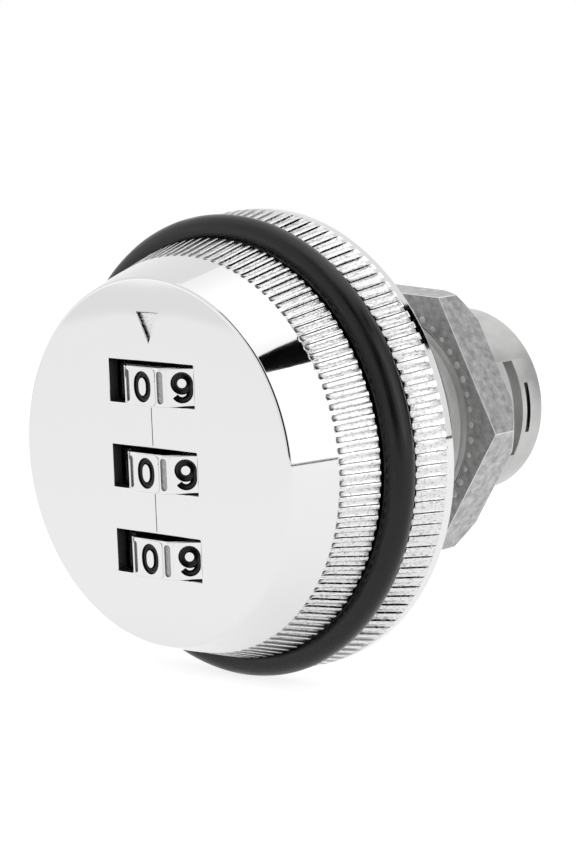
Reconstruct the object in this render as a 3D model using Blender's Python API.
# Three-dial combination locker lock, in metres, +Z up.
# The turning axis of the knob runs along Y: the dials face -Y and the barrel points to +Y.
# The origin lies on that axis, in the plane where the housing's flange seats on the door.

from math import asin, cos, degrees, pi, radians, sin, sqrt

import bmesh
import bpy
from mathutils import Matrix, Vector

MM = 0.001

# Fits
SEAT_GAP = 0.15 * MM            # between pieces that touch on the real lock
RUN_GAP = 0.25 * MM             # round what turns or slides
DOOR_GAP = 0.30 * MM            # from the knob's rear rim to the door

# Knob shell: face, cone, two fluted bands and the groove between them
FACE_MARGIN = 2.70 * MM         # from the lowest code sleeve's underside to the face's rim
FACE_EDGE = 0.35 * MM           # rounding between the face and the cone
FACE_WALL = 1.1 * MM
KNOB_WALL = 0.9 * MM            # least wall of the skirt, just behind the face
CONE_RISE = 0.30                # radius gained for each unit of depth
FLUTE_COUNT = 120
FLUTE_DEPTH = 0.38 * MM
FLUTE_START = 4.2 * MM          # depth behind the face where the front flutes run out
FLUTE_RUNOUT = 1.0 * MM
REAR_BAND_STEP = 0.435 * MM     # its front edge, outside the line of the cone
RIM_WIDTH = 0.6 * MM            # plain rim behind the rear flutes
RIM_CHAMFER = 0.25 * MM

# Rubber grip ring
RING_TUBE_RADIUS = 1.3 * MM
RING_STEP = 0.07 * MM           # the middle of its section, outside the line of the cone
RING_DEPTH = 9.6 * MM           # its middle, behind the face

# Dials and their windows
DIAL_FACETS = 10
DIAL_FACET_RADIUS = 5.93 * MM   # from the axle to the middle of a facet
DIAL_THICKNESS = 3.26 * MM
DIAL_PITCH = 7.2 * MM
MIDDLE_DIAL_HEIGHT = -0.70 * MM
DIAL_NAMES = ("top", "middle", "bottom")
AXLE_DEPTH = 5.0 * MM           # behind the face
DIAL_BACK_GAP = 0.215 * MM      # between the dials and the bar behind them
AXLE_RADIUS = 1.2 * MM
WINDOW_WIDTH = 10.3 * MM
WINDOW_SIDE_GAP = 0.135 * MM    # below a dial
WINDOW_RAISE = 0.15 * MM        # of its middle above the dial's, which leaves more room on top
NOTCH_WIDTH = 0.6 * MM          # finger notch on each edge between two facets
NOTCH_LENGTH = 3.0 * MM
NOTCH_DEPTH = 0.28 * MM
DIAL_CHAMFER = 0.15 * MM
AXLE_SUNK = 1.2 * MM            # from the carrier's round side to each end of the axle

# Marks on the face
ARROW_WIDTH = 2.46 * MM
ARROW_HEIGHT = 2.5 * MM
ARROW_INSET = 3.0 * MM          # from the face's rim
ARROW_DEPTH = 0.3 * MM
INDEX_WIDTH = 0.14 * MM
INDEX_DEPTH = 0.12 * MM

# Code sleeves: a gated disc under each dial on a six-sided driving spigot
SLEEVE_RADIUS = 3.6 * MM
SLEEVE_HEIGHT = 2.6 * MM
SPIGOT_RADIUS = 2.6 * MM
GATE_DEPTH = 0.9 * MM

# Locking bar, its fins and its nose
BAR_THICKNESS = 0.6 * MM
BAR_WIDTH = 1.2 * MM
BAR_TRAVEL = 0.6 * MM
FIN_HEIGHT = 1.6 * MM
NOSE_INSET = 2.85 * MM          # from the carrier's side to the middle of the nose
NOSE_HEIGHT = 1.6 * MM
NOSE_TIP_WIDTH = 0.5 * MM
ARM_END = 1.1 * MM              # of the cross arm, beyond the middle of each spring
ARM_HEIGHT = 2.0 * MM
BAR_END = 0.6 * MM              # strip beyond its outer fin and beyond the nose

# Springs and balls
BALL_RADIUS = 0.7 * MM
DETENT_SPRING_LENGTH = 3.0 * MM
DETENT_SPRING_TURNS = 4
BAR_SPRING_OFFSET = 3.7 * MM
BAR_SPRING_RADIUS = 0.65 * MM
BAR_SPRING_LENGTH = 2.2 * MM
BAR_SPRING_TURNS = 3
WIRE_RADIUS = 0.11 * MM

# Drive plate and spindle
PLATE_THICKNESS = 0.9 * MM
SPINDLE_RADIUS = 4.3 * MM
SQUARE_SIZE = 6.0 * MM
SQUARE_STAND = 3.0 * MM         # how far the square end stands out of the barrel
SQUARE_ROOT = 1.1 * MM          # length of the square inside the barrel
TAPPED_RADIUS = 1.65 * MM
TAPPED_DEPTH = 9.0 * MM
STOP_CIRCLE = 7.2 * MM
STOP_PIN_RADIUS = 0.7 * MM
TURN_ANGLE = 90.0

# Screws through the plate and the carrier into the bosses of the shell
SCREW_INSET = 1.95 * MM         # from the carrier's side
SCREW_RADIUS = 0.9 * MM
SCREW_HEAD_RADIUS = 1.6 * MM
SCREW_LENGTH = 8.0 * MM
BOSS_RADIUS = 2.25 * MM         # wide enough to run into the skirt
BOSS_LENGTH = 6.6 * MM
LEFT_SCREW_ANGLES = (150.0, 210.0)

# Housing: flange, threaded barrel and its plain tail
FLANGE_INSET = 0.3 * MM         # from the radius of the knob's face
FLANGE_THICKNESS = 1.3 * MM
BARREL_RADIUS = 9.5 * MM
BARREL_LENGTH = 25.85 * MM
TAIL_LENGTH = 7.55 * MM         # of the barrel, behind the thread
TAIL_RADIUS = 8.4 * MM
TAIL_CHAMFER = 0.25 * MM
CLIP_SLOT_INSET = 3.55 * MM     # from its middle to the barrel's end
CLIP_SLOT_WIDTH = 1.3 * MM
CLIP_SLOT_HALF = 4.3 * MM
SLIT_INSET = 2.05 * MM
SLIT_WIDTH = 0.5 * MM
SLIT_LENGTH = 4.2 * MM
KEEPER_DEPTH = 0.7 * MM
STOP_GROOVE_DEPTH = 1.3 * MM    # from the flange's front into the barrel's wall

# Retaining clip
CLIP_THICKNESS = 0.8 * MM
CLIP_GROOVE_DEPTH = 1.0 * MM
CLIP_MOUTH = 6.0 * MM
CLIP_BACK = 7.0 * MM
CLIP_LEGS = 2.15 * MM           # how far its legs reach past the turning axis

# Nut
NUT_WALL = 1.85 * MM            # from the thread's crest to a flat
NUT_THICKNESS = 3.9 * MM
THREAD_BEHIND_NUT = 1.1 * MM
NUT_CHAMFER = 1.5 * MM
NUT_TURN = 2.8                  # degrees, as it was run up on the thread

# Facets of the round forms
ROUND_SIDES = 64
SMALL_SIDES = 20
TINY_SIDES = 10
RING_SIDES = 8
NOTCH_STEPS = 2
COIL_STEPS = 8

# Places worked out from the sizes above
DIAL_RADIUS = DIAL_FACET_RADIUS / cos(pi / DIAL_FACETS)
DIAL_HEIGHTS = tuple(MIDDLE_DIAL_HEIGHT + step * DIAL_PITCH for step in (1, 0, -1))
WINDOW_HEIGHTS = tuple(height + WINDOW_RAISE for height in DIAL_HEIGHTS)
WINDOW_HALF = DIAL_THICKNESS / 2 + WINDOW_SIDE_GAP + WINDOW_RAISE
DIAL_ROOM_HALF = DIAL_THICKNESS / 2 + RUN_GAP
SLEEVE_DROP = DIAL_PITCH / 2
SLEEVE_HEIGHTS = tuple(height - SLEEVE_DROP for height in DIAL_HEIGHTS)
FACE_RADIUS = FACE_MARGIN + SLEEVE_HEIGHT / 2 - SLEEVE_HEIGHTS[-1]
ARROW_TOP = FACE_RADIUS - ARROW_INSET
FLANGE_FRONT = -FLANGE_THICKNESS
PLATE_REAR = FLANGE_FRONT - RUN_GAP
PLATE_FRONT = PLATE_REAR - PLATE_THICKNESS
BAR_REAR = PLATE_FRONT - BAR_TRAVEL - SEAT_GAP
BAR_FRONT = BAR_REAR - BAR_THICKNESS
AXLE_Y = BAR_FRONT - DIAL_BACK_GAP - DIAL_RADIUS
FACE_Y = AXLE_Y - AXLE_DEPTH
KNOB_DEPTH = -FACE_Y - DOOR_GAP
CAVITY_RADIUS = FACE_RADIUS - KNOB_WALL
RIM_FRONT = KNOB_DEPTH - RIM_WIDTH
RIM_RADIUS = FACE_RADIUS + CONE_RISE * RIM_FRONT
RING_MEAN_RADIUS = FACE_RADIUS + CONE_RISE * RING_DEPTH + RING_STEP
FLANGE_RADIUS = FACE_RADIUS - FLANGE_INSET
RECESS_RADIUS = FLANGE_RADIUS + RUN_GAP
CARRIER_FRONT = FACE_Y + FACE_WALL + SEAT_GAP
CARRIER_REAR = PLATE_FRONT - SEAT_GAP
CARRIER_RADIUS = CAVITY_RADIUS - SEAT_GAP
SCREW_CIRCLE = CARRIER_RADIUS - SCREW_INSET
NOSE_RADIUS = CARRIER_RADIUS - NOSE_INSET
GROOVE_FLOOR = RING_MEAN_RADIUS - RING_TUBE_RADIUS - SEAT_GAP
GROOVE_HALF = RING_TUBE_RADIUS + SEAT_GAP
AXLE_BOTTOM = -CARRIER_RADIUS + AXLE_SUNK
BALL_PLACE = DIAL_RADIUS + SEAT_GAP + BALL_RADIUS
DETENT_SPRING_START = BALL_PLACE + BALL_RADIUS + WIRE_RADIUS + SEAT_GAP
ARM_REACH = BAR_SPRING_OFFSET + ARM_END
BAR_BOTTOM = -NOSE_RADIUS - NOSE_HEIGHT / 2 - BAR_END
BAR_TOP = SLEEVE_HEIGHTS[0] + FIN_HEIGHT / 2 + BAR_END
NOSE_TIP = FLANGE_FRONT - SEAT_GAP
FIN_TIP = AXLE_Y + SLEEVE_RADIUS + SEAT_GAP
BOSS_END = FACE_Y + FACE_WALL + BOSS_LENGTH
SCREW_HOLE = SCREW_RADIUS + SEAT_GAP
SPINDLE_BORE = SPINDLE_RADIUS + SEAT_GAP
ROUND_END = BARREL_LENGTH - SQUARE_ROOT
STOP_GROOVE_FLOOR = FLANGE_FRONT + STOP_GROOVE_DEPTH
THREAD_END = BARREL_LENGTH - TAIL_LENGTH
CLIP_SLOT_PLACE = BARREL_LENGTH - CLIP_SLOT_INSET
SLIT_PLACE = BARREL_LENGTH - SLIT_INSET
NUT_END = THREAD_END - THREAD_BEHIND_NUT
NUT_PLACE = NUT_END - NUT_THICKNESS
NUT_FLAT = BARREL_RADIUS + NUT_WALL


# Helpers

def clear_scene():
    for item in list(bpy.data.objects):
        bpy.data.objects.remove(item)


def material(name, colour, metallic, roughness):
    made = bpy.data.materials.new(name)
    made.use_nodes = True
    shader = made.node_tree.nodes["Principled BSDF"]
    shader.inputs["Base Color"].default_value = (*colour, 1.0)
    shader.inputs["Metallic"].default_value = metallic
    shader.inputs["Roughness"].default_value = roughness
    return made


def link(made, parent, location):
    made.parent = parent
    made.location = location
    bpy.context.scene.collection.objects.link(made)
    return made


def make_object(name, bm, finish=None, parent=None, location=(0, 0, 0)):
    bmesh.ops.recalc_face_normals(bm, faces=bm.faces)
    mesh = bpy.data.meshes.new(name)
    bm.to_mesh(mesh)
    bm.free()
    mesh.shade_smooth()
    mesh.set_sharp_from_angle(angle=radians(30))
    if finish is not None:
        mesh.materials.append(finish)
    return link(bpy.data.objects.new(name, mesh), parent, location)


def combine(target, name, bm, operation):
    # The tool stays in the file as a wire shape beside the piece that it works on.
    tool = make_object(name, bm, None, target.parent, target.location)
    tool.hide_render = True
    tool.display_type = 'WIRE'
    change = target.modifiers.new(name, 'BOOLEAN')
    change.operation = operation
    change.solver = 'EXACT'
    change.object = tool


def cut(target, name, bm):
    combine(target, name, bm, 'DIFFERENCE')


def finished_mesh(master):
    # Applies the changes of a pattern piece, so that its copies can share one mesh.
    tools = [change.object for change in master.modifiers]
    bpy.context.view_layer.update()
    shaped = master.evaluated_get(bpy.context.evaluated_depsgraph_get())
    mesh = bpy.data.meshes.new_from_object(shaped)
    for item in (master, *tools):
        bpy.data.objects.remove(item)
    return mesh


def add_ring(bm, radius, y, sides, flute=0.0):
    # A fluted ring has two points for each flute, and every second one lies deeper.
    count = sides * 2 if flute else sides
    ring = []
    for step in range(count):
        angle = 2 * pi * step / count
        reach = radius - flute * (step % 2)
        ring.append(bm.verts.new((reach * cos(angle), y, reach * sin(angle))))
    return ring


def stitch(bm, first, second):
    if len(first) == len(second):
        for step in range(len(first)):
            after = (step + 1) % len(first)
            bm.faces.new((first[step], first[after], second[after], second[step]))
        return
    few, many = sorted((first, second), key=len)
    for step in range(len(few)):
        after = (step + 1) % len(few)
        middle = 2 * step + 1
        bm.faces.new((few[step], few[after], many[middle]))
        bm.faces.new((few[step], many[middle], many[2 * step]))
        bm.faces.new((few[after], many[(middle + 1) % len(many)], many[middle]))


def turned(profile, sides, tube=False):
    # Each point is (radius, y) or (radius, y, flute depth), turned about the Y axis.
    bm = bmesh.new()
    rings = [add_ring(bm, point[0], point[1], sides, *point[2:]) for point in profile]
    for first, second in zip(rings, rings[1:]):
        stitch(bm, first, second)
    if tube:
        stitch(bm, rings[-1], rings[0])
    else:
        bm.faces.new(rings[0])
        bm.faces.new(rings[-1])
    return bm


def merge_into(bm, part):
    # Copies the faces of one mesh under construction into another.
    copies = {vert: bm.verts.new(vert.co) for vert in part.verts}
    for face in part.faces:
        bm.faces.new([copies[vert] for vert in face.verts])
    part.free()


def add_turned(bm, profile, sides, centre=(0, 0, 0), along='Y'):
    part = turned(profile, sides)
    if along == 'Z':
        part.transform(Matrix.Rotation(radians(90), 4, 'X'))
    if along == 'X':
        part.transform(Matrix.Rotation(radians(-90), 4, 'Z'))
    part.transform(Matrix.Translation(centre))
    merge_into(bm, part)


def add_rod(bm, radius, low, high, sides, centre=(0, 0, 0), along='Y'):
    add_turned(bm, [(radius, low), (radius, high)], sides, centre, along)


def rod(radius, low, high, sides, centre=(0, 0, 0), along='Y'):
    bm = bmesh.new()
    add_rod(bm, radius, low, high, sides, centre, along)
    return bm


def add_box(bm, low, high):
    low, high = Vector(low), Vector(high)
    place = Matrix.Translation((low + high) / 2) @ Matrix.Diagonal((*(high - low), 1))
    bmesh.ops.create_cube(bm, size=1.0, matrix=place)


def box(low, high):
    bm = bmesh.new()
    add_box(bm, low, high)
    return bm


def add_prism(bm, outline, sweep):
    # The outline's corners are full points, and sweep is the vector that they move along.
    face = bm.faces.new([bm.verts.new(point) for point in outline])
    swept = bmesh.ops.extrude_face_region(bm, geom=[face])
    moved = [item for item in swept["geom"] if isinstance(item, bmesh.types.BMVert)]
    bmesh.ops.translate(bm, verts=moved, vec=sweep)


def prism(outline, sweep):
    bm = bmesh.new()
    add_prism(bm, outline, sweep)
    return bm


def arc_points(radius, start, end, steps, centre=(0, 0)):
    # Points along an arc, with the angles in degrees.
    angles = [radians(start + (end - start) * step / steps) for step in range(steps + 1)]
    return [(centre[0] + radius * cos(a), centre[1] + radius * sin(a)) for a in angles]


def coil(name, finish, parent, start, along, length, radius, turns):
    # A compression spring as a round wire along a helix.
    along = Vector(along)
    side = along.orthogonal().normalized()
    other = along.cross(side)
    steps = turns * COIL_STEPS
    wire = bpy.data.curves.new(name, 'CURVE')
    wire.dimensions = '3D'
    line = wire.splines.new('POLY')
    line.points.add(steps)
    for step in range(steps + 1):
        angle = 2 * pi * step / COIL_STEPS
        place = Vector(start) + along * (length * step / steps)
        place += radius * (side * cos(angle) + other * sin(angle))
        line.points[step].co = (*place, 1)
    wire.bevel_depth = WIRE_RADIUS
    wire.bevel_resolution = 0
    wire.use_fill_caps = True
    wire.materials.append(finish)
    return link(bpy.data.objects.new(name, wire), parent, (0, 0, 0))


# Knob shell

def cone_radius(depth):
    return FACE_RADIUS + CONE_RISE * depth


def knob_profile():
    groove_front = RING_DEPTH - GROOVE_HALF
    groove_rear = RING_DEPTH + GROOVE_HALF
    flutes_full = FLUTE_START + FLUTE_RUNOUT
    rear_band_front = cone_radius(groove_rear) + REAR_BAND_STEP
    profile = [
        (FACE_RADIUS - FACE_EDGE, 0),
        (cone_radius(FACE_EDGE), FACE_EDGE),
        (cone_radius(FLUTE_START), FLUTE_START),
        (cone_radius(flutes_full), flutes_full, FLUTE_DEPTH),
        (cone_radius(groove_front), groove_front - FLUTE_DEPTH, FLUTE_DEPTH),
        (cone_radius(groove_front) - FLUTE_DEPTH, groove_front),
        (GROOVE_FLOOR, groove_front),
        (GROOVE_FLOOR, groove_rear),
        (rear_band_front - FLUTE_DEPTH, groove_rear),
        (rear_band_front, groove_rear + FLUTE_DEPTH, FLUTE_DEPTH),
        (RIM_RADIUS, RIM_FRONT - FLUTE_DEPTH, FLUTE_DEPTH),
        (RIM_RADIUS, RIM_FRONT),
        (RIM_RADIUS, KNOB_DEPTH - RIM_CHAMFER),
        (RIM_RADIUS - RIM_CHAMFER, KNOB_DEPTH),
    ]
    return [(point[0], FACE_Y + point[1], *point[2:]) for point in profile]


def cavity():
    # The bore for the carrier, and the wider recess that takes the housing's flange.
    return turned([(CAVITY_RADIUS, FACE_Y + FACE_WALL), (CAVITY_RADIUS, PLATE_REAR),
                   (RECESS_RADIUS, PLATE_REAR), (RECESS_RADIUS, RUN_GAP)], ROUND_SIDES)


def screw_places():
    # One screw stands between the balls of the upper two dials, two on the other side.
    right = degrees(asin(SLEEVE_HEIGHTS[0] / SCREW_CIRCLE))
    angles = (right, *LEFT_SCREW_ANGLES)
    return [(SCREW_CIRCLE * cos(radians(a)), SCREW_CIRCLE * sin(radians(a))) for a in angles]


def at_screws(radius, low, high, sides):
    bm = bmesh.new()
    for x, z in screw_places():
        add_rod(bm, radius, low, high, sides, (x, 0, z))
    return bm


def windows():
    bm = bmesh.new()
    for height in WINDOW_HEIGHTS:
        add_box(bm, (-WINDOW_WIDTH / 2, FACE_Y - FACE_WALL, height - WINDOW_HALF),
                (WINDOW_WIDTH / 2, CARRIER_FRONT, height + WINDOW_HALF))
    return bm


def face_marks():
    # The arrow at the top, and the index lines between one window and the next.
    bm = bmesh.new()
    for height in WINDOW_HEIGHTS[:-1]:
        top = height - WINDOW_HALF - INDEX_WIDTH
        bottom = height - DIAL_PITCH + WINDOW_HALF + INDEX_WIDTH
        add_box(bm, (-INDEX_WIDTH / 2, FACE_Y - INDEX_DEPTH, bottom),
                (INDEX_WIDTH / 2, FACE_Y + INDEX_DEPTH, top))
    front = FACE_Y - ARROW_DEPTH
    arrow = [(-ARROW_WIDTH / 2, front, ARROW_TOP), (ARROW_WIDTH / 2, front, ARROW_TOP),
             (0, front, ARROW_TOP - ARROW_HEIGHT)]
    add_prism(bm, arrow, (0, 2 * ARROW_DEPTH, 0))
    return bm


def make_knob_shell(chrome, turning):
    shell = make_object("knob_shell", turned(knob_profile(), FLUTE_COUNT), chrome, turning)
    cut(shell, "cavity", cavity())
    boss_front = FACE_Y + FACE_WALL / 2
    combine(shell, "bosses", at_screws(BOSS_RADIUS, boss_front, BOSS_END, SMALL_SIDES), 'UNION')
    cut(shell, "windows", windows())
    cut(shell, "face_marks", face_marks())
    hole_end = PLATE_REAR - SCREW_LENGTH - RUN_GAP
    cut(shell, "boss_holes", at_screws(SCREW_HOLE, hole_end, BOSS_END + SEAT_GAP, TINY_SIDES))


def make_grip_ring(rubber, turning):
    circle = arc_points(RING_TUBE_RADIUS, 0, 360, RING_SIDES)[:-1]
    profile = [(RING_MEAN_RADIUS + r, FACE_Y + RING_DEPTH + y) for r, y in circle]
    make_object("grip_ring", turned(profile, ROUND_SIDES, tube=True), rubber, turning)


# Carrier that holds the dials, the bar and the click balls behind the face

def pocket_outline(radius, bottom):
    # Open to the front, and round behind the axle.
    front = CARRIER_FRONT - FACE_WALL
    back = [(x, y, bottom) for x, y in arc_points(radius, 0, 180, SMALL_SIDES, (0, AXLE_Y))]
    return [(-radius, front, bottom), (radius, front, bottom), *back]


def dial_rooms():
    bm = bmesh.new()
    for height in DIAL_HEIGHTS:
        outline = pocket_outline(DIAL_RADIUS + RUN_GAP, height - DIAL_ROOM_HALF)
        add_prism(bm, outline, (0, 0, 2 * DIAL_ROOM_HALF))
    return bm


def sleeve_room():
    bottom = SLEEVE_HEIGHTS[-1] - SLEEVE_HEIGHT / 2 - RUN_GAP
    outline = pocket_outline(SLEEVE_RADIUS + RUN_GAP, bottom)
    return prism(outline, (0, 0, DIAL_HEIGHTS[0] - bottom))


def bar_outline(gap, rear):
    # Side view of the bar: a strip with a fin for each sleeve and the nose behind it.
    low, high = BAR_BOTTOM - gap, BAR_TOP + gap
    front = BAR_FRONT - min(gap, SEAT_GAP)
    outline = [(0, rear, low), (0, rear, high), (0, front, high)]
    for height in SLEEVE_HEIGHTS:
        half = FIN_HEIGHT / 2 + gap
        outline += [(0, front, height + half), (0, FIN_TIP - gap, height + half),
                    (0, FIN_TIP - gap, height - half), (0, front, height - half)]
    outline.append((0, front, low))
    return outline


def swept_across(outline, width):
    shifted = [(-width / 2, y, z) for _, y, z in outline]
    return prism(shifted, (width, 0, 0))


def arm_box(gap, rear):
    height = SLEEVE_HEIGHTS[1]
    half = ARM_HEIGHT / 2 + gap
    return box((-ARM_REACH - gap, BAR_FRONT - min(gap, SEAT_GAP), height - half),
               (ARM_REACH + gap, rear, height + half))


def carrier_bores():
    bm = bmesh.new()
    add_rod(bm, AXLE_RADIUS + SEAT_GAP, AXLE_BOTTOM - SEAT_GAP, CARRIER_RADIUS * 2, TINY_SIDES,
            (0, AXLE_Y, 0), 'Z')
    bore_end = DETENT_SPRING_START + DETENT_SPRING_LENGTH + WIRE_RADIUS + SEAT_GAP
    for height in DIAL_HEIGHTS:
        add_rod(bm, BALL_RADIUS + SEAT_GAP, DIAL_RADIUS, bore_end, TINY_SIDES,
                (0, AXLE_Y, height), 'X')
    return bm


def spring_pockets():
    bm = bmesh.new()
    floor = BAR_FRONT - BAR_SPRING_LENGTH - 2 * WIRE_RADIUS - 2 * SEAT_GAP
    reach = BAR_SPRING_RADIUS + WIRE_RADIUS + SEAT_GAP
    for side in (-1, 1):
        add_rod(bm, reach, floor, CARRIER_REAR + SEAT_GAP, TINY_SIDES,
                (side * BAR_SPRING_OFFSET, 0, SLEEVE_HEIGHTS[1]))
    return bm


def make_carrier(zinc, turning):
    profile = [(CARRIER_RADIUS, CARRIER_FRONT), (CARRIER_RADIUS, CARRIER_REAR)]
    carrier = make_object("dial_carrier", turned(profile, ROUND_SIDES), zinc, turning)
    behind = CARRIER_REAR + SEAT_GAP
    cut(carrier, "dial_rooms", dial_rooms())
    cut(carrier, "sleeve_room", sleeve_room())
    cut(carrier, "carrier_bores", carrier_bores())
    cut(carrier, "bar_room", swept_across(bar_outline(RUN_GAP, behind), BAR_WIDTH + 2 * RUN_GAP))
    cut(carrier, "arm_room", arm_box(RUN_GAP, behind))
    cut(carrier, "spring_pockets", spring_pockets())
    front = CARRIER_FRONT - SEAT_GAP
    cut(carrier, "boss_rooms",
        at_screws(BOSS_RADIUS + RUN_GAP, front, BOSS_END + SEAT_GAP, SMALL_SIDES))
    cut(carrier, "screw_ways", at_screws(SCREW_HOLE, BOSS_END, behind, TINY_SIDES))


# Dials, code sleeves and their axle

def dial_notches():
    # A round-ended finger notch across each edge where two facets meet.
    bm = bmesh.new()
    straight = (NOTCH_LENGTH - NOTCH_WIDTH) / 2
    ends = arc_points(NOTCH_WIDTH / 2, 0, 180, NOTCH_STEPS, (0, straight))
    ends += arc_points(NOTCH_WIDTH / 2, 180, 360, NOTCH_STEPS, (0, -straight))
    floor = DIAL_RADIUS - NOTCH_DEPTH
    for step in range(DIAL_FACETS):
        turn = Matrix.Rotation(2 * pi * step / DIAL_FACETS, 4, 'Z')
        outline = [turn @ Vector((floor, across, along)) for across, along in ends]
        add_prism(bm, outline, turn @ Vector((2 * NOTCH_DEPTH, 0, 0)))
    return bm


def dial_mesh(chrome):
    half = DIAL_THICKNESS / 2
    rim = DIAL_RADIUS - DIAL_CHAMFER
    body = bmesh.new()
    add_turned(body, [(rim, -half), (DIAL_RADIUS, DIAL_CHAMFER - half),
                      (DIAL_RADIUS, half - DIAL_CHAMFER), (rim, half)],
               DIAL_FACETS, along='Z')
    master = make_object("dial_pattern", body, chrome)
    cut(master, "dial_bore", rod(SPIGOT_RADIUS + SEAT_GAP, -half * 2, half * 2, 6, along='Z'))
    cut(master, "dial_notches", dial_notches())
    return finished_mesh(master)


def sleeve_mesh(zinc):
    # The disc lies below its dial, and the six-sided spigot goes up through the dial's bore.
    low = SLEEVE_HEIGHT / 2
    top = SLEEVE_DROP + DIAL_THICKNESS / 2
    master = make_object("sleeve_pattern", rod(SLEEVE_RADIUS, -low, low, SMALL_SIDES, along='Z'),
                         zinc)
    combine(master, "spigot", rod(SPIGOT_RADIUS, 0, top, 6, along='Z'), 'UNION')
    cut(master, "axle_hole", rod(AXLE_RADIUS + SEAT_GAP, -top, top * 2, TINY_SIDES, along='Z'))
    gate = BAR_WIDTH / 2 + RUN_GAP
    cut(master, "gate", box((-gate, SLEEVE_RADIUS - GATE_DEPTH, -top),
                            (gate, SLEEVE_RADIUS * 2, low + SEAT_GAP)))
    return finished_mesh(master)


def place_dials(chrome, zinc, turning):
    dial, sleeve = dial_mesh(chrome), sleeve_mesh(zinc)
    for name, height in zip(DIAL_NAMES, DIAL_HEIGHTS):
        spin = link(bpy.data.objects.new("spin_" + name, None), turning, (0, AXLE_Y, height))
        link(bpy.data.objects.new("dial_wheel_" + name, dial), spin, (0, 0, 0))
        link(bpy.data.objects.new("code_sleeve_" + name, sleeve), spin, (0, 0, -SLEEVE_DROP))


def make_axle(steel, turning):
    top = CARRIER_RADIUS - AXLE_SUNK
    make_object("dial_axle", rod(AXLE_RADIUS, AXLE_BOTTOM, top, TINY_SIDES, (0, AXLE_Y, 0), 'Z'),
                steel, turning)


# Click balls, springs and the locking bar

def make_detents(steel, turning):
    for name, height in zip(DIAL_NAMES, DIAL_HEIGHTS):
        ball = bmesh.new()
        bmesh.ops.create_uvsphere(ball, u_segments=TINY_SIDES, v_segments=TINY_SIDES // 2,
                                  radius=BALL_RADIUS)
        make_object("detent_ball_" + name, ball, steel, turning, (BALL_PLACE, AXLE_Y, height))
        coil("detent_spring_" + name, steel, turning, (DETENT_SPRING_START, AXLE_Y, height),
             (1, 0, 0), DETENT_SPRING_LENGTH, BALL_RADIUS - WIRE_RADIUS - SEAT_GAP,
             DETENT_SPRING_TURNS)


def bar_nose():
    # The nose narrows at 45 degrees, so that turning the knob pushes it back.
    half, tip = BAR_WIDTH / 2, NOSE_TIP_WIDTH / 2
    root = BAR_REAR - BAR_THICKNESS / 2
    bottom = -NOSE_RADIUS - NOSE_HEIGHT / 2
    outline = [(-half, root, bottom), (half, root, bottom),
               (half, NOSE_TIP - half + tip, bottom), (tip, NOSE_TIP, bottom),
               (-tip, NOSE_TIP, bottom), (-half, NOSE_TIP - half + tip, bottom)]
    return prism(outline, (0, 0, NOSE_HEIGHT))


def make_locking_bar(steel, turning):
    sliding = link(bpy.data.objects.new("bar_slide", None), turning, (0, 0, 0))
    strip = swept_across(bar_outline(0, BAR_REAR), BAR_WIDTH)
    bar = make_object("locking_bar", strip, steel, sliding)
    combine(bar, "bar_arm", arm_box(0, BAR_REAR), 'UNION')
    combine(bar, "bar_nose", bar_nose(), 'UNION')


def make_bar_springs(steel, turning):
    start = BAR_FRONT - WIRE_RADIUS - SEAT_GAP / 2
    for name, side in (("left", -1), ("right", 1)):
        coil("bar_spring_" + name, steel, turning,
             (side * BAR_SPRING_OFFSET, start, SLEEVE_HEIGHTS[1]), (0, -1, 0),
             BAR_SPRING_LENGTH, BAR_SPRING_RADIUS, BAR_SPRING_TURNS)


# Spindle with its drive plate, stop pin, screws and clip

def spindle_profile():
    groove = SPINDLE_RADIUS - CLIP_GROOVE_DEPTH
    groove_half = CLIP_THICKNESS / 2 + SEAT_GAP
    return [
        (CARRIER_RADIUS, PLATE_FRONT), (CARRIER_RADIUS, PLATE_REAR),
        (SPINDLE_RADIUS, PLATE_REAR), (SPINDLE_RADIUS, CLIP_SLOT_PLACE - groove_half),
        (groove, CLIP_SLOT_PLACE - groove_half), (groove, CLIP_SLOT_PLACE + groove_half),
        (SPINDLE_RADIUS, CLIP_SLOT_PLACE + groove_half), (SPINDLE_RADIUS, ROUND_END),
    ]


def countersinks():
    bm = bmesh.new()
    sink = SCREW_HEAD_RADIUS - SCREW_RADIUS
    profile = [(SCREW_HOLE, PLATE_FRONT - SEAT_GAP), (SCREW_HOLE, PLATE_REAR - sink),
               (SCREW_HEAD_RADIUS + SEAT_GAP, PLATE_REAR),
               (SCREW_HEAD_RADIUS + SEAT_GAP, PLATE_REAR + SEAT_GAP)]
    for x, z in screw_places():
        add_turned(bm, profile, SMALL_SIDES, (x, 0, z))
    return bm


def make_spindle(zinc, turning):
    spindle = make_object("spindle", turned(spindle_profile(), SMALL_SIDES * 2), zinc, turning)
    half = SQUARE_SIZE / 2
    end = BARREL_LENGTH + SQUARE_STAND
    combine(spindle, "square_end", box((-half, ROUND_END - SEAT_GAP, -half), (half, end, half)),
            'UNION')
    cut(spindle, "tapped_hole", rod(TAPPED_RADIUS, end - TAPPED_DEPTH, end * 2, SMALL_SIDES))
    cut(spindle, "countersinks", countersinks())
    wide, tall = BAR_WIDTH / 2 + RUN_GAP, NOSE_HEIGHT / 2 + RUN_GAP
    cut(spindle, "nose_way", box((-wide, PLATE_FRONT - SEAT_GAP, -NOSE_RADIUS - tall),
                                 (wide, PLATE_REAR + SEAT_GAP, -NOSE_RADIUS + tall)))
    pin_hole = rod(STOP_PIN_RADIUS + SEAT_GAP, PLATE_FRONT - SEAT_GAP, PLATE_REAR + SEAT_GAP,
                   TINY_SIDES, (0, 0, STOP_CIRCLE))
    cut(spindle, "pin_hole", pin_hole)


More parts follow.
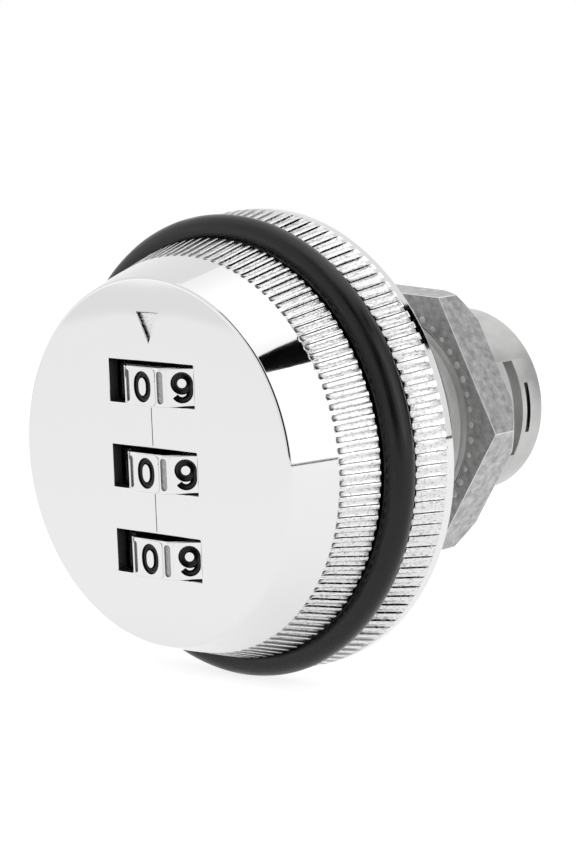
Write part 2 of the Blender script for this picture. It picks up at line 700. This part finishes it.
def make_stop_pin(steel, turning):
    pin = rod(STOP_PIN_RADIUS, PLATE_FRONT, STOP_GROOVE_FLOOR - RUN_GAP, TINY_SIDES,
              (0, 0, STOP_CIRCLE))
    make_object("stop_pin", pin, steel, turning)


def make_screws(steel, turning):
    sink = SCREW_HEAD_RADIUS - SCREW_RADIUS
    top = PLATE_REAR - SEAT_GAP / 2
    tip = PLATE_REAR - SCREW_LENGTH
    profile = [(SCREW_RADIUS / 2, tip), (SCREW_RADIUS, tip + SCREW_RADIUS),
               (SCREW_RADIUS, top - sink), (SCREW_HEAD_RADIUS, top)]
    for number, (x, z) in enumerate(screw_places(), 1):
        screw = bmesh.new()
        add_turned(screw, profile, TINY_SIDES, (x, 0, z))
        make_object(f"carrier_screw_{number}", screw, steel, turning)


def make_clip(steel):
    # A push-on clip: round where it grips the spindle's groove, flat where it meets the slot.
    inner = SPINDLE_RADIUS - CLIP_GROOVE_DEPTH + SEAT_GAP
    half, mouth = CLIP_SLOT_HALF - SEAT_GAP, CLIP_MOUTH / 2
    grip, back = degrees(asin(mouth / inner)), degrees(asin(half / CLIP_BACK))
    outline = [(-CLIP_LEGS, half), *arc_points(CLIP_BACK, back, -back, TINY_SIDES),
               (-CLIP_LEGS, -half), (-CLIP_LEGS, -mouth),
               *arc_points(inner, grip - 180, 180 - grip, SMALL_SIDES), (-CLIP_LEGS, mouth)]
    front = CLIP_SLOT_PLACE - CLIP_THICKNESS / 2
    clip = prism([(x, front, z) for x, z in outline], (0, CLIP_THICKNESS, 0))
    make_object("retaining_clip", clip, steel)


# Housing and nut

def housing_profile():
    step = BARREL_RADIUS - TAIL_RADIUS
    return [
        (SPINDLE_BORE, FLANGE_FRONT), (FLANGE_RADIUS, FLANGE_FRONT), (FLANGE_RADIUS, 0),
        (BARREL_RADIUS, 0), (BARREL_RADIUS, THREAD_END - step / 2),
        (TAIL_RADIUS, THREAD_END), (TAIL_RADIUS, BARREL_LENGTH - TAIL_CHAMFER),
        (TAIL_RADIUS - TAIL_CHAMFER, BARREL_LENGTH), (SPINDLE_BORE, BARREL_LENGTH),
    ]


def tail_cuts():
    # The clip's slot, and a shallow slit whose ends run out on the round tail.
    bm = bmesh.new()
    beyond = 2 * TAIL_RADIUS
    low, high = CLIP_SLOT_PLACE - CLIP_SLOT_WIDTH / 2, CLIP_SLOT_PLACE + CLIP_SLOT_WIDTH / 2
    add_box(bm, (-CLIP_LEGS - RUN_GAP, low, -CLIP_SLOT_HALF),
            (beyond, high, CLIP_SLOT_HALF))
    chord = sqrt(TAIL_RADIUS ** 2 - (SLIT_LENGTH / 2) ** 2)
    add_box(bm, (chord, SLIT_PLACE - SLIT_WIDTH / 2, -beyond),
            (beyond, SLIT_PLACE + SLIT_WIDTH / 2, beyond))
    return bm


def keeper_notch():
    floor = NOSE_TIP_WIDTH / 2 + SEAT_GAP
    mouth = floor + KEEPER_DEPTH
    low = -NOSE_RADIUS - NOSE_HEIGHT / 2 - RUN_GAP
    front, back = FLANGE_FRONT, FLANGE_FRONT + KEEPER_DEPTH
    outline = [(-mouth - SEAT_GAP, front - SEAT_GAP, low), (mouth + SEAT_GAP, front - SEAT_GAP, low),
               (floor, back, low), (-floor, back, low)]
    return prism(outline, (0, 0, NOSE_HEIGHT + 2 * RUN_GAP))


def stop_groove():
    # The pin runs clockwise from straight up, through the knob's turn.
    half = STOP_PIN_RADIUS + RUN_GAP
    start, end = 90.0, 90.0 - TURN_ANGLE
    first = (0, STOP_CIRCLE)
    last = (STOP_CIRCLE * cos(radians(end)), STOP_CIRCLE * sin(radians(end)))
    outline = arc_points(STOP_CIRCLE + half, start, end, TINY_SIDES)[1:-1]
    outline += arc_points(half, end, end - 180, TINY_SIDES // 2, last)
    outline += arc_points(STOP_CIRCLE - half, end, start, TINY_SIDES)[1:-1]
    outline += arc_points(half, start + 180, start, TINY_SIDES // 2, first)
    front = FLANGE_FRONT - SEAT_GAP
    return prism([(x, front, z) for x, z in outline], (0, STOP_GROOVE_FLOOR - front, 0))


def make_housing(zinc):
    housing = make_object("housing", turned(housing_profile(), ROUND_SIDES, tube=True), zinc)
    cut(housing, "tail_cuts", tail_cuts())
    cut(housing, "keeper_notch", keeper_notch())
    cut(housing, "stop_groove", stop_groove())


def make_nut(zinc):
    corner = NUT_FLAT / cos(pi / 6)
    nut = make_object("hex_nut", turned([(corner, NUT_PLACE), (corner, NUT_END)], 6), zinc)
    beyond = corner * 1.5
    slope = NUT_CHAMFER / (corner - NUT_FLAT)
    rounding = [(beyond, NUT_PLACE - NUT_THICKNESS),
                (beyond, NUT_END - slope * (beyond - NUT_FLAT)),
                (NUT_FLAT - SEAT_GAP, NUT_END + slope * SEAT_GAP)]
    combine(nut, "nut_chamfer", turned(rounding, ROUND_SIDES), 'INTERSECT')
    cut(nut, "nut_bore", rod(BARREL_RADIUS + SEAT_GAP, NUT_PLACE - SEAT_GAP,
                             NUT_END + SEAT_GAP * 2, ROUND_SIDES))
    nut.rotation_euler.y = radians(NUT_TURN)


def main():
    clear_scene()
    chrome = material("chromed_zinc", (0.80, 0.81, 0.82), 1.0, 0.08)
    zinc = material("raw_cast_zinc", (0.42, 0.42, 0.41), 1.0, 0.45)
    steel = material("spring_steel", (0.55, 0.55, 0.56), 1.0, 0.30)
    rubber = material("black_rubber", (0.015, 0.015, 0.016), 0.0, 0.50)
    turning = link(bpy.data.objects.new("knob_turn", None), None, (0, 0, 0))
    make_knob_shell(chrome, turning)
    make_grip_ring(rubber, turning)
    make_carrier(zinc, turning)
    place_dials(chrome, zinc, turning)
    make_axle(steel, turning)
    make_detents(steel, turning)
    make_locking_bar(steel, turning)
    make_bar_springs(steel, turning)
    make_spindle(zinc, turning)
    make_stop_pin(steel, turning)
    make_screws(steel, turning)
    make_clip(steel)
    make_housing(zinc)
    make_nut(zinc)


main()
